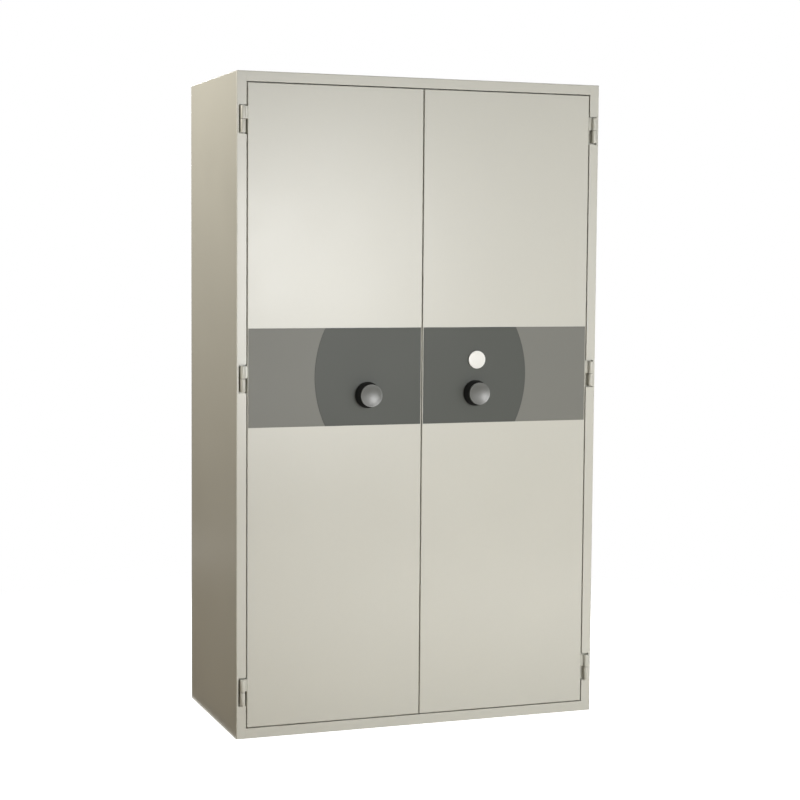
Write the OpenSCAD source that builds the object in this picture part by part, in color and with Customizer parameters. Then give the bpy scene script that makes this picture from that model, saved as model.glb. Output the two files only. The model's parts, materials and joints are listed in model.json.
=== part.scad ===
// Two-door fireproof cabinet.
// Millimetres, +Z up, front towards -Y, origin on the floor at the centre of the casing.
// Everything that comes in pairs is drawn on the +X side and mirrored to the left.

/* [Casing] */
// Outer width of the casing
cab_w = 1150; // [1050:10:1250]
// Outer depth of the casing, without knobs
cab_d = 550; // [500:10:620]
// Outer height of the casing
cab_h = 1950; // [1850:10:2050]
// Sheet steel of the casing
casing_t = 2; // [1.5:0.5:2.5]
// Width of the frame that shows round the doors
frame_w = 30; // [28:1:34]
// Depth of the jamb that the frame folds back into
jamb_d = 30; // [30:1:34]
// Outer radius of the casing folds
fold_r = 3; // [2:0.5:4]
// Overlap of the back panel's rim inside the casing
back_rim = 15; // [10:1:25]

/* [Lining] */
// Thickness of the insulated walls, floor and top
wall_t = 60; // [56:1:66]
// Sheet steel of the lining
liner_t = 1; // [0.8:0.1:1.5]
// Thickness of the fire seal on the frame
seal_t = 1.7; // [1.2:0.1:2]
// Width of the fire seals
seal_w = 16; // [12:1:18]

/* [Doors] */
// Gap between a door and the frame, and between the doors
door_gap = 3; // [2.5:0.5:6]
// Depth of the outer door pan
pan_d = 26; // [24:1:27]
// Depth of the insulated plug behind the pan
plug_d = 24; // [20:1:28]
// Depth of the space for the boltwork
bolt_space = 25; // [25:1:28]
// Sheet steel of the doors
door_sheet = 1.5; // [1.2:0.1:2]
// Sheet steel of the boltwork cover
cover_sheet = 1.2; // [1:0.1:1.5]
// Outer radius of the door folds
door_fold_r = 2; // [1.5:0.5:3]
// Gap between the plug and the lining
plug_gap = 4; // [3:0.5:6]
// Step from the meeting edge back to the plug
plug_step = 6; // [5:0.5:10]

/* [Coloured band] */
// Height of the band across both doors
band_h = 290; // [240:5:340]
// Height of the band's middle above the floor
band_z = 1064.5; // [1040:0.5:1090]
// Radius of the dark circle
circle_r = 338; // [300:1:380]
// Thickness of the light panel
light_t = 1.2; // [0.8:0.1:1.5]
// Thickness of the dark panel
dark_t = 1.6; // [1.2:0.1:2]
// Bare strip at the edges of a door
band_edge = 3; // [2.5:0.5:8]

/* [Hinges] */
// Height of the joint in the lowest hinge
hinge_low_z = 140; // [120:5:200]
// Height of the joint in the middle hinge
hinge_mid_z = 1063; // [950:1:1150]
// Distance of the joint in the top hinge from the casing's top
hinge_top_in = 139; // [120:1:200]
// Diameter of a knuckle
knuckle_d = 15; // [13:1:16]
// Length of a knuckle
knuckle_l = 38; // [35:1:50]
// Hinge axis in front of the front face
axis_front = 8; // [6:0.5:10]
// Hinge axis outside the opening
axis_out = 12.5; // [11:0.5:13]
// Diameter of a hinge pin
hinge_pin_d = 9; // [7:0.5:10]
// Thickness of the collar between two knuckles
collar_t = 1.5; // [0.8:0.1:2]
// Gap between a hinge and its pocket
pocket_gap = 3; // [2:0.5:4]
// Depth of a hinge's pocket
pocket_d = 14; // [12:1:18]

/* [Knobs] */
// Distance of a knob from the middle of the cabinet
knob_x = 173; // [165:1:185]
// Distance of the knobs below the band's middle
knob_down = 54.5; // [44:0.5:64]
// Diameter of the skirt at the door
skirt_d = 78; // [74:1:84]
// Diameter of the skirt at the cap
skirt_top_d = 69; // [67:1:74]
// Height of the skirt
skirt_h = 32; // [28:1:38]
// Diameter of the cap
cap_d = 67; // [60:1:67]
// Height of the cap
cap_h = 7; // [7:0.5:10]
// Depth of the dish in the cap's face
cap_dish = 3.6; // [2.6:0.1:3.8]
// Diameter of the spindle
spindle_d = 14; // [12:1:16]
// Outer diameter of the spindle bush
bush_d = 24; // [22:1:28]

/* [Boltwork] */
// Radius of the drive pins for the upper and lower bolts
throw_r = 17; // [15:0.5:17]
// Radius of the drive pin for the side bolts
side_throw_r = 24; // [23:0.5:25]
// Diameter of the drive pins
drive_d = 8; // [7:0.5:8]
// Thickness of the bars
bar_t = 4; // [3:0.5:4]
// Width of the bars
bar_w = 16; // [14:1:18]
// Diameter of the bolts
bolt_d = 16; // [12:1:16]
// Length of a bolt
bolt_l = 55; // [50:1:70]
// Distance of the long bars from the spindle
bar_out = 60; // [58:1:64]
// Spacing of the side bolts
side_pitch = 430; // [380:10:460]
// Distance of the side bolts' carrier from the middle of the cabinet
carrier_x = 62; // [60:1:64]

/* [Lock] */
// Distance of the lock from the middle of the cabinet
key_x = 176; // [174:1:178]
// Distance of the keyhole above the knobs
key_up = 101; // [98:1:106]
// Diameter of the keyhole cover
cover_d = 54; // [50:1:60]
// Thickness of the keyhole cover
cover_t = 3; // [2:0.5:4]
// Distance of the cover's pivot above its middle
pivot_up = 20; // [18:0.5:22]
// Diameter of the cover's pivot
pivot_d = 5; // [4:0.5:6]
// Diameter of the escutcheon
plate_d = 50; // [50:1:54]
// Width of the lock case
case_w = 60; // [56:1:64]
// Height of the lock case
case_h = 98; // [94:1:104]

/* [Shelves] */
// Number of shelves
shelf_count = 4; // [4:1:4]
// Sheet steel of the shelves
shelf_t = 1.2; // [1:0.1:1.5]
// Height of a shelf's lips
shelf_lip = 28; // [24:1:36]
// Width of an upright
upright_w = 30; // [26:1:36]
// Thickness of an upright
upright_t = 4; // [3:0.5:5]
// Slots of the uprights in each bay
slots_per_bay = 6; // [5:1:7]

/* [Hidden] */
$fn = 64;

// Colours
cream = "#cbc9be";
light_grey = "#878b84";
dark_grey = "#62655f";
black = "#1b1b18";
cap_grey = "#8c8d88";
white = "#f4f4f0";
steel = "#b4b6b8";
zinc = "#a8aaa6";
brass = "#b8a060";
mineral = "#d8d6d0";
graphite = "#4a4a4c";

// Clearances
run = 0.05;           // radial play of a shaft in its bore
slide_gap = 0.5;      // play of a bar or bolt in its guide
seat_gap = 0.4;       // gap under a part that turns on a face
yoke_gap = 0.9;       // play of a drive pin across its slot
hole_gap = 1;         // radial play of a bolt in a keeper
eps = 1;              // extra length of a cut

// Places worked out from the sizes above
half_w = cab_w / 2;
front_y = -cab_d / 2;
back_y = cab_d / 2;
open_x = half_w - frame_w;
open_low = frame_w;
open_high = cab_h - frame_w;
liner_x = half_w - wall_t;
liner_low = wall_t;
liner_high = cab_h - wall_t;
liner_back = back_y - wall_t;
flange_y = front_y + jamb_d;
door_in_x = door_gap / 2;
door_out_x = open_x - door_gap;
door_low = open_low + door_gap;
door_high = open_high - door_gap;
pan_y = front_y + pan_d;
plug_y = pan_y + plug_d;
door_back_y = plug_y + bolt_space;
plug_in_x = door_in_x + plug_step;
plug_out_x = liner_x - plug_gap;
plug_low = liner_low + plug_gap;
plug_high = liner_high - plug_gap;
cover_set = 3;        // step from the plug to the boltwork cover
cover_in_x = plug_in_x + cover_set;
cover_out_x = plug_out_x - cover_set;
cover_low = plug_low + cover_set;
cover_high = plug_high - cover_set;
cover_in_y = door_back_y - cover_sheet;
dark_y = front_y - dark_t;
light_y = front_y - light_t;
knob_z = band_z - knob_down;
key_z = knob_z + key_up;

// Hinges
axis_x = open_x + axis_out;
axis_y = front_y - axis_front;
hinge_z = [hinge_low_z, hinge_mid_z, cab_h - hinge_top_in];
pocket_end = 4;       // gap above and below the two knuckles
pocket_h = 2 * (knuckle_l + pocket_end);
pocket_x = axis_x + knuckle_d / 2 + pocket_gap;
pocket_y = front_y + pocket_d;
leaf_t = 5;           // thickness of the leaf between knuckle and door
lug_w = 10;           // width of the lugs that carry the knuckles
pin_short = 6;        // how far a pin ends inside a knuckle
pin_reach = knuckle_l - pin_short;
collar_in = 2;        // step from the knuckle in to the collar

// Boltwork: the spindle's disc, then the side bar, then the two long bars
layer_gap = 1;        // gap between two layers that pass each other
pin_over = 0.5;       // end of a drive pin behind its bar
disc_y = plug_y + 2;
disc_t = 4;
disc_d = 2 * side_throw_r + 2 * drive_d;
side_y = disc_y + disc_t + layer_gap;
bar_y = side_y + bar_t + layer_gap;
throw_z = throw_r * sin(45);
side_z = side_throw_r * sin(45);
foot_h = 24;          // height of a long bar's foot, where its slot is
foot_in = 1;          // start of the foot beside the spindle's axis
side_bolt_y = side_y + bar_t / 2 + pin_over;
long_bolt_y = bar_y + bar_t / 2;
bolt_proud = 2;       // length of a drawn bolt outside the cover
bolt_chamfer = 1;
bolt_pocket = 2 * throw_z;
keeper_t = 2;
keeper_l = 90;
keeper_w = 34;
side_keeper_t = 3;
yoke_half = 9;        // half the width of the side bar's slotted plate
yoke_low = 8;         // underside of that plate above the spindle
arm_low = 20;         // underside of the side bar above the spindle
arm_high = 34;        // upper side of the side bar above the spindle
side_mid_z = knob_z + (arm_low + arm_high) / 2;
carrier_w = 20;
carrier_over = 20;    // carrier beyond its last bolt
lug_low = 13;         // blocking lug beside the spindle
lug_high = 26;
lug_top = 42;
side_bolt_z = [for (k = [-1:1]) side_mid_z + k * side_pitch];

// Guides of the bars, made from blocks with a slot through them
guide_off = 200;      // inner guides from the spindle
guide_end = 60;       // outer guides from the bolts
guide_side = 7;       // guide beside its bar
guide_h = 16;
guide_roof = 3;       // guide behind its bar
guide_up_z = [knob_z + guide_off, cover_high - bolt_l - guide_end];
guide_low_z = [knob_z - guide_off, cover_low + bolt_l + guide_end];
side_guide_w = 12;
side_guide_over = 6;  // side guide above and below the arm
side_guide_x = carrier_x + carrier_w / 2 + 16;

// Lock
case_t = 1.5;
case_y = plug_y + 1;
case_d = 20;
case_low = key_z - case_h / 2;
case_lug_w = 10;      // fixing lugs at both sides of the case
case_lug_h = 14;
case_lug_t = 4;
case_lug_in = 5;      // lugs below the top of the case
crank_r = 10;         // radius of the curtain's pin
crank_d = 5;
crank_gap = 0.5;
crank_end = 0.3;      // play of the pin at the ends of its slot
tongue_w = 12;
bolt_head_w = 24;
bolt_head_h = 22;
bolt_head_low = 4;    // head of the lock bolt below the keyhole
key_slot_w = 6;
key_slot_h = 8;       // slot of the curtain below its axis
slot_above = 4;
slot_floor = 1;       // what is left behind the curtain's slot
tongue_over = 8;      // drawn tongue above the blocking lug
tongue_low = knob_z + lug_top + tongue_over;
journal_d = 18;
sleeve_d = 26;
sleeve_bore = 22;
plate_t = 2.4;        // thickness of the escutcheon
keyhole_d = 9;
keyhole_drop = 10;    // length of the keyhole's lower part
pivot_web = 0.6;      // what is left of the cover in front of its pivot
key_cover_y = dark_y - plate_t - seat_gap - cover_t;

// Shelves
bay = (liner_high - liner_low) / (shelf_count + 1);
shelf_front = door_back_y + 10;
shelf_back = liner_back - 7;
shelf_x = liner_x - upright_t - 2;
lip_in = 12;          // width of a shelf's lips
slot_pitch = bay / slots_per_bay;
slot_drop = 10;       // slot of a shelf's clip below the shelf
slot_h = 6;
upright_in = 40;      // uprights in from the edges of the shelves
upright_y = [shelf_front + upright_in, shelf_back - upright_in];
clip_w = 16;
clip_play = 1;        // gap at both sides of a clip in its slot
clip_out = 14;
clip_down = 16;
clip_t = 2;

// Screws of the boltwork covers, between the moving bars
screw_out_x = cover_out_x - 18;
screw_in_x = cover_in_x + 19;
post_d = 10;
screw_d = 4;
head_d = 9;
head_t = 2.5;
screw_l = 14;
thread_floor = 4;     // post below its threaded hole
screw_slot_w = 1.2;
screw_slot_t = 1;
screw_end = 50;       // end screws from the ends of the cover
screw_past = 60;      // middle screws past the ends of the carrier
carrier_half = side_pitch + carrier_over;
screw_step = (cover_high - cover_low - 2 * screw_end) / 3;
screw_places = concat(
    [for (k = [0:3]) [screw_out_x, cover_low + screw_end + k * screw_step]],
    [for (z = [cover_low + screw_end, side_mid_z - carrier_half - screw_past,
        side_mid_z + carrier_half + screw_past, cover_high - screw_end]) [screw_in_x, z]]);

// Seals, bushes and knobs
edge_seal_t = 1.6;
seal_edge = 1;        // frame seal in from the edge of the doors
strip_front = 6;      // strip on the plug behind the pan
strip_back = 2;
strip_end = 10;
bush_flange_t = 3;
bush_flange_d = 44;
flange_room = 4;      // room round the bush's flange in the skirt
skirt_edge = 2;
socket_h = 2;         // depth of the spindle's socket in the cap
cap_lip = 1.5;        // flat rim round the cap's dish
cap_edge_r = 0.8;

// A block between two opposite corners
module block(low, high) {
    translate(low) cube(high - low);
}

// A flat shape in the XZ plane, from y back to y + t
module plate_at(y, t) {
    translate([0, y + t, 0]) rotate([90, 0, 0]) linear_extrude(t) children();
}

// A turned part on an axis that points out of the door; h grows towards the front
module turned_at(x, y, z) {
    translate([x, y, z]) rotate([90, 0, 0]) children();
}

// A bore or pin along Y between two depths
module rod_y(x, z, low, high, d) {
    translate([x, high, z]) rotate([90, 0, 0]) cylinder(h = high - low, d = d);
}

// A flat slot with round ends, from a to b, w wide
module slot2d(a, b, w) {
    translate(a) circle(d = w);
    translate(b) circle(d = w);
    if (a[0] == b[0])
        translate([a[0] - w / 2, a[1]]) square([w, b[1] - a[1]]);
    else
        translate([a[0], a[1] - w / 2]) square([b[0] - a[0], w]);
}

// What is cut off a square corner at the origin to leave a round one
module corner_cut(r, l) {
    linear_extrude(l) difference() {
        translate([-eps, -eps]) square(r + eps);
        translate([r, r]) circle(r);
    }
}

module both_sides() {
    children();
    mirror([1, 0, 0]) children();
}

// The rounded folds of the whole casing, taken off each panel that has a share of them
module casing_folds() {
    both_sides() {
        translate([half_w, front_y, -eps]) mirror([1, 0, 0]) corner_cut(fold_r, cab_h + 2 * eps);
        translate([half_w, back_y, -eps]) rotate(180) corner_cut(fold_r, cab_h + 2 * eps);
        translate([half_w, back_y + eps, cab_h]) rotate([90, 0, 0]) rotate(180)
            corner_cut(fold_r, cab_d + 2 * eps);
    }
    translate([-half_w - eps, front_y, cab_h]) rotate([90, 0, 90]) mirror([0, 1, 0])
        corner_cut(fold_r, cab_w + 2 * eps);
    translate([-half_w - eps, back_y, cab_h]) rotate([90, 0, 90]) rotate(180)
        corner_cut(fold_r, cab_w + 2 * eps);
}

// Space of one hinge in the frame, grown by a wall
module hinge_space(z, wall) {
    block([open_x - eps, front_y - eps, z - pocket_h / 2 - wall],
        [pocket_x + wall, pocket_y + wall, z + pocket_h / 2 + wall]);
}

// Side wall, frame face and jamb folded from one sheet, with welded hinge pockets
module side_panel() {
    difference() {
        union() {
            linear_extrude(cab_h) polygon([
                [half_w, front_y], [half_w, back_y - casing_t],
                [half_w - casing_t, back_y - casing_t], [half_w - casing_t, front_y + casing_t],
                [open_x + casing_t, front_y + casing_t], [open_x + casing_t, flange_y],
                [open_x, flange_y], [open_x, front_y]]);
            for (z = hinge_z) intersection() {
                hinge_space(z, casing_t);
                block([open_x, front_y + casing_t, 0], [half_w, back_y, cab_h]);
            }
        }
        for (z = hinge_z) hinge_space(z, 0);
        casing_folds();
    }
}

// Front flange and jamb of the top or base panel, drawn for the base
module cross_frame() {
    block([-open_x, front_y, 0], [open_x, front_y + casing_t, frame_w]);
    block([-open_x, front_y, frame_w - casing_t], [open_x, flange_y, frame_w]);
}

module cross_sheet() {
    block([-half_w + casing_t, front_y + casing_t, 0],
        [half_w - casing_t, back_y - casing_t, casing_t]);
}

module left_side_panel() { color(cream) mirror([1, 0, 0]) side_panel(); }

module right_side_panel() { color(cream) side_panel(); }

module top_panel() {
    color(cream) difference() {
        translate([0, 0, cab_h]) mirror([0, 0, 1]) {
            difference() {
                cross_sheet();
                jamb_corners();
            }
            cross_frame();
        }
        casing_folds();
    }
}

// Room for the ends of the side panels' jambs in the top and base sheets
module jamb_corners() {
    both_sides() block([open_x, front_y - eps, -eps],
        [open_x + casing_t, flange_y, casing_t + eps]);
}

module base_panel() {
    color(cream) {
        difference() {
            cross_sheet();
            jamb_corners();
        }
        cross_frame();
    }
}

// Flat back with a rim that sits inside the casing
module back_panel() {
    rim_x = half_w - casing_t;
    color(cream) difference() {
        union() {
            block([-half_w, back_y - casing_t, 0], [half_w, back_y, cab_h]);
            difference() {
                block([-rim_x, back_y - casing_t - back_rim, casing_t],
                    [rim_x, back_y - casing_t, cab_h - casing_t]);
                block([-rim_x + casing_t, 0, 2 * casing_t],
                    [rim_x - casing_t, back_y, cab_h - 2 * casing_t]);
            }
        }
        casing_folds();
    }
}

// Holes of the four long bolts, from one height to another
module long_bolt_holes(low, high, d) {
    both_sides() for (side = [-1, 1])
        translate([knob_x + side * bar_out, long_bolt_y, side > 0 ? high[0] : low[0]])
            cylinder(h = side > 0 ? high[1] - high[0] : low[1] - low[0], d = d);
}

// Inner box with a flange that closes the space behind the jambs
module inner_liner() {
    flange_x = open_x + casing_t;
    color(zinc) difference() {
        union() {
            block([-liner_x - liner_t, flange_y, liner_low - liner_t],
                [liner_x + liner_t, liner_back + liner_t, liner_high + liner_t]);
            block([-flange_x, flange_y, open_low - casing_t],
                [flange_x, flange_y + liner_t, open_high + casing_t]);
        }
        block([-liner_x, flange_y - eps, liner_low], [liner_x, liner_back, liner_high]);
        long_bolt_holes([liner_low - liner_t - eps, liner_low + eps],
            [liner_high - eps, liner_high + liner_t + eps], bolt_d + 2 * hole_gap);
    }
}

// Mineral slab of a side wall, relieved for the back panel's rim; the frame's folds stay hollow
module side_slab() {
    rim_y = back_y - casing_t - back_rim;
    color(mineral) difference() {
        block([liner_x + liner_t, flange_y + liner_t, casing_t],
            [half_w - casing_t, back_y - casing_t, cab_h - casing_t]);
        difference() {
            block([0, rim_y, 0], [half_w, back_y, cab_h]);
            block([0, rim_y - eps, 2 * casing_t],
                [half_w - 2 * casing_t, back_y + eps, cab_h - 2 * casing_t]);
        }
    }
}

module left_insulation() { mirror([1, 0, 0]) side_slab(); }

module right_insulation() { side_slab(); }

// Slab of the top or base, drawn for the base
module cross_slab() {
    inner = liner_x + liner_t;
    color(mineral) difference() {
        block([-inner, flange_y + liner_t, casing_t], [inner, back_y - casing_t, liner_low - liner_t]);
        block([-inner - eps, back_y - casing_t - back_rim, 0], [inner + eps, back_y, 2 * casing_t]);
        long_bolt_holes([liner_low - liner_t - bolt_pocket, liner_low],
            [liner_low - liner_t - bolt_pocket, liner_low], bolt_d + 2 * hole_gap);
    }
}

module base_insulation() { cross_slab(); }

module top_insulation() { translate([0, 0, cab_h]) mirror([0, 0, 1]) cross_slab(); }

module back_insulation() {
    color(mineral) block([-liner_x - liner_t, liner_back + liner_t, liner_low - liner_t],
        [liner_x + liner_t, back_y - casing_t, liner_high + liner_t]);
}

// A flat ring between two rectangles, seal_w wide
module seal_ring(x, low, high) {
    difference() {
        block([-x, flange_y - seal_t, low], [x, flange_y, high]);
        block([-x + seal_w, flange_y - seal_t - eps, low + seal_w],
            [x - seal_w, flange_y + eps, high - seal_w]);
    }
}

module frame_seal() {
    color(graphite)
        seal_ring(door_out_x - seal_edge, door_low + seal_edge, door_high - seal_edge);
}

// Steel plates that take the long bolts at the top and bottom of the lining
module bolt_keepers() {
    color(zinc) difference() {
        both_sides() for (side = [-1, 1]) {
            low = side > 0 ? liner_high - keeper_t : liner_low;
            block([knob_x + side * bar_out - keeper_l / 2, long_bolt_y - keeper_w / 2, low],
                [knob_x + side * bar_out + keeper_l / 2, long_bolt_y + keeper_w / 2, low + keeper_t]);
        }
        long_bolt_holes([liner_low - eps, liner_low + keeper_t + eps],
            [liner_high - keeper_t - eps, liner_high + eps], bolt_d + 2 * hole_gap);
    }
}

// Slotted strip that carries the shelves
module upright(y) {
    difference() {
        block([liner_x - upright_t, y - upright_w / 2, liner_low + keeper_t],
            [liner_x, y + upright_w / 2, liner_high - keeper_t]);
        for (k = [1:slots_per_bay * (shelf_count + 1) - 1])
            translate([liner_x - upright_t - eps, y - clip_w / 2,
                liner_low + k * slot_pitch - slot_drop - slot_h / 2])
                cube([upright_t + 2 * eps, clip_w, slot_h]);
    }
}

module shelf_uprights() {
    color(zinc) both_sides() for (y = upright_y) upright(y);
}

// Clip with a tongue in the slot and a seat under the shelf
module clip(y, z) {
    face = liner_x - upright_t;
    half = clip_w / 2 - clip_play;
    low = z - shelf_t;
    block([face, y - half, z - slot_drop - clip_t], [liner_x, y + half, z - slot_drop + clip_t]);
    block([face - clip_t, y - half, low - clip_down], [face, y + half, low]);
    block([face - clip_out, y - half, low - clip_t], [face, y + half, low]);
}

module shelf_clips() {
    color(steel) both_sides() for (k = [1:shelf_count], y = upright_y)
        clip(y, liner_low + k * bay);
}

// Shelf folded at the front and back, seen from the end as a flat C
module shelf(k) {
    deep = shelf_back - shelf_front;
    color(cream) translate([-shelf_x, shelf_front, liner_low + k * bay - shelf_lip])
        rotate([90, 0, 90]) linear_extrude(2 * shelf_x) difference() {
            square([deep, shelf_lip]);
            translate([shelf_t, shelf_t]) square([deep - 2 * shelf_t, shelf_lip - 2 * shelf_t]);
            translate([lip_in, -eps]) square([deep - 2 * lip_in, shelf_lip / 2]);
        }
}

module shelf_1() { shelf(1); }

module shelf_2() { shelf(2); }

module shelf_3() { shelf(3); }

module shelf_4() { shelf(4); }

// Lower knuckles, welded to the pockets of the frame
module frame_knuckle(z) {
    difference() {
        union() {
            translate([axis_x, axis_y, z - knuckle_l]) cylinder(h = knuckle_l, d = knuckle_d);
            block([axis_x - lug_w / 2, axis_y, z - knuckle_l], [axis_x + lug_w / 2, pocket_y, z]);
        }
        translate([axis_x, axis_y, z - pin_reach]) cylinder(h = pin_reach + eps, d = hinge_pin_d);
    }
}

module frame_hinge_knuckles() {
    color(cream) both_sides() for (z = hinge_z) frame_knuckle(z);
}

// Pins with a collar that the door's knuckle runs on
module hinge_pins() {
    color(steel) both_sides() for (z = hinge_z) translate([axis_x, axis_y, z]) {
        translate([0, 0, -pin_reach]) cylinder(h = 2 * pin_reach, d = hinge_pin_d);
        cylinder(h = collar_t, d = knuckle_d - 2 * collar_in);
    }
}

// Upper knuckle on a lug, and the leaf that runs flush into the face of the door
module door_knuckle(z) {
    low = z + collar_t;
    difference() {
        union() {
            translate([axis_x, axis_y, low]) cylinder(h = knuckle_l - collar_t, d = knuckle_d);
            block([axis_x - lug_w / 2, axis_y, low],
                [axis_x + lug_w / 2, front_y + leaf_t, z + knuckle_l]);
            block([door_out_x, front_y, low], [axis_x, front_y + leaf_t, z + knuckle_l]);
        }
        translate([axis_x, axis_y, low - eps])
            cylinder(h = pin_reach + eps, d = hinge_pin_d + 2 * run);
    }
}

module door_hinge_knuckles() {
    color(cream) for (z = hinge_z) door_knuckle(z);
}

module left_hinge_knuckles() { mirror([1, 0, 0]) door_hinge_knuckles(); }

module right_hinge_knuckles() { door_hinge_knuckles(); }

// Hole of the spindle bush, and on the lock side the hole of the key sleeve
module front_holes(low, high, with_lock) {
    rod_y(knob_x, knob_z, low, high, bush_d);
    if (with_lock) rod_y(key_x, key_z, low, high, sleeve_d);
}

// Outer pan of a door, with folded edges
module door_skin(with_lock) {
    color(cream) difference() {
        block([door_in_x, front_y, door_low], [door_out_x, pan_y, door_high]);
        block([door_in_x + door_sheet, front_y + door_sheet, door_low + door_sheet],
            [door_out_x - door_sheet, pan_y + eps, door_high - door_sheet]);
        front_holes(front_y - eps, front_y + door_sheet + eps, with_lock);
        translate([door_in_x, front_y, door_low - eps])
            corner_cut(door_fold_r, door_high - door_low + 2 * eps);
        translate([door_out_x, front_y, door_low - eps]) mirror([1, 0, 0])
            corner_cut(door_fold_r, door_high - door_low + 2 * eps);
        translate([door_in_x - eps, front_y, door_low]) rotate([90, 0, 90])
            corner_cut(door_fold_r, door_out_x - door_in_x + 2 * eps);
        translate([door_in_x - eps, front_y, door_high]) rotate([90, 0, 90]) mirror([0, 1, 0])
            corner_cut(door_fold_r, door_out_x - door_in_x + 2 * eps);
    }
}

// Mineral core that fills the pan and the plug
module door_core(with_lock) {
    color(mineral) difference() {
        union() {
            block([door_in_x + door_sheet, front_y + door_sheet, door_low + door_sheet],
                [door_out_x - door_sheet, pan_y, door_high - door_sheet]);
            block([plug_in_x + door_sheet, pan_y, plug_low + door_sheet],
                [plug_out_x - door_sheet, plug_y - door_sheet, plug_high - door_sheet]);
        }
        front_holes(front_y, plug_y, with_lock);
    }
}

// Guide block for a long bar, with the bar's slot through it
module bar_guide(x, z) {
    half = bar_w / 2 + guide_side;
    difference() {
        block([x - half, plug_y, z - guide_h / 2],
            [x + half, bar_y + bar_t + guide_roof, z + guide_h / 2]);
        block([x - bar_w / 2 - slide_gap, bar_y - slide_gap, z - guide_h],
            [x + bar_w / 2 + slide_gap, bar_y + bar_t + slide_gap, z + guide_h]);
    }
}

// Inner pan: rim, hat-shaped plug, cover posts and bar guides
module door_inner_pan(with_lock) {
    color(zinc) {
        difference() {
            union() {
                block([door_in_x, pan_y, door_low], [door_out_x, pan_y + door_sheet, door_high]);
                block([plug_in_x, pan_y, plug_low], [plug_out_x, plug_y, plug_high]);
            }
            block([plug_in_x + door_sheet, pan_y - eps, plug_low + door_sheet],
                [plug_out_x - door_sheet, plug_y - door_sheet, plug_high - door_sheet]);
            front_holes(plug_y - 2 * door_sheet, plug_y + eps, with_lock);
        }
        for (p = screw_places) difference() {
            rod_y(p[0], p[1], plug_y, cover_in_y, post_d);
            rod_y(p[0], p[1], plug_y + thread_floor, cover_in_y + eps, screw_d);
        }
        for (z = guide_up_z) bar_guide(knob_x + bar_out, z);
        for (z = guide_low_z) bar_guide(knob_x - bar_out, z);
        if (with_lock) side_guide();
    }
}

// Guide block of the side bar's arm
module side_guide() {
    difference() {
        block([side_guide_x - side_guide_w / 2, plug_y, knob_z + arm_low - side_guide_over],
            [side_guide_x + side_guide_w / 2, side_y + bar_t + 2, knob_z + arm_high + side_guide_over]);
        block([side_guide_x - side_guide_w, side_y - slide_gap, knob_z + arm_low - slide_gap],
            [side_guide_x + side_guide_w, side_y + bar_t + slide_gap, knob_z + arm_high + slide_gap]);
    }
}

// Holes of the side bolts between two distances from the middle of the cabinet
module side_bolt_holes(low, high, d) {
    for (z = side_bolt_z)
        translate([low, side_bolt_y, z]) rotate([0, 90, 0]) cylinder(h = high - low, d = d);
}

// Shallow pan over the boltwork
module boltwork_cover() {
    color(cream) difference() {
        block([cover_in_x, plug_y, cover_low], [cover_out_x, door_back_y, cover_high]);
        block([cover_in_x + cover_sheet, plug_y - eps, cover_low + cover_sheet],
            [cover_out_x - cover_sheet, cover_in_y, cover_high - cover_sheet]);
        translate([knob_x + bar_out, long_bolt_y, cover_high - 2 * cover_sheet])
            cylinder(h = 4 * cover_sheet, d = bolt_d + 2 * slide_gap);
        translate([knob_x - bar_out, long_bolt_y, cover_low - 2 * cover_sheet])
            cylinder(h = 4 * cover_sheet, d = bolt_d + 2 * slide_gap);
        side_bolt_holes(cover_in_x - eps, cover_in_x + 2 * cover_sheet, bolt_d + 2 * slide_gap);
        for (p = screw_places) rod_y(p[0], p[1], cover_in_y - eps, door_back_y + eps, screw_d);
    }
}

module cover_screws() {
    color(steel) for (p = screw_places) {
        rod_y(p[0], p[1], door_back_y - screw_l, door_back_y, screw_d);
        difference() {
            rod_y(p[0], p[1], door_back_y, door_back_y + head_t, head_d);
            plate_at(door_back_y + head_t - screw_slot_t, 2 * screw_slot_t) translate([p[0], p[1]])
                square([head_d * 0.7, screw_slot_w], center = true);
        }
    }
}

// The two flat panels of the band, with the circle's edge between them
module band_face() {
    translate([door_in_x + band_edge, band_z - band_h / 2])
        square([door_out_x - door_in_x - 2 * band_edge, band_h]);
}

module circle_face() {
    translate([0, band_z]) circle(circle_r, $fn = 180);
}

module light_panel() {
    color(light_grey) plate_at(light_y, light_t) difference() {
        band_face();
        circle_face();
    }
}

module dark_panel(with_lock) {
    color(dark_grey) difference() {
        plate_at(dark_y, dark_t) intersection() {
            band_face();
            circle_face();
        }
        front_holes(dark_y - eps, front_y + eps, with_lock);
    }
}

// Swelling strip on the plug's edge where the doors meet
module edge_seal() {
    color(graphite) block([plug_in_x - edge_seal_t, pan_y + strip_front, plug_low + strip_end],
        [plug_in_x, plug_y - strip_back, plug_high - strip_end]);
}

// Flanged bush that carries the spindle through the door
module spindle_bush() {
    color(brass) turned_at(knob_x, dark_y, knob_z) difference() {
        union() {
            translate([0, 0, dark_y - plug_y]) cylinder(h = plug_y - dark_y, d = bush_d);
            cylinder(h = bush_flange_t, d = bush_flange_d);
        }
        translate([0, 0, dark_y - plug_y - eps])
            cylinder(h = plug_y - dark_y + bush_flange_t + 2 * eps, d = spindle_d + 2 * run);
    }
}

// Tapered skirt of the knob, hollow over the bush's flange
module knob_skirt() {
    hollow_r = bush_flange_d / 2 + flange_room;
    hollow_h = bush_flange_t + seat_gap;
    edge = skirt_edge;
    color(black) turned_at(knob_x, dark_y, knob_z) rotate_extrude($fn = 96) polygon([
        [spindle_d / 2, hollow_h], [hollow_r, hollow_h], [hollow_r, seat_gap],
        [skirt_d / 2 - edge, seat_gap], [skirt_d / 2, seat_gap + edge],
        [skirt_d / 2, seat_gap + 2 * edge], [skirt_top_d / 2, skirt_h - edge / 2],
        [skirt_top_d / 2 - edge / 2, skirt_h], [spindle_d / 2, skirt_h]]);
}

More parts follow.
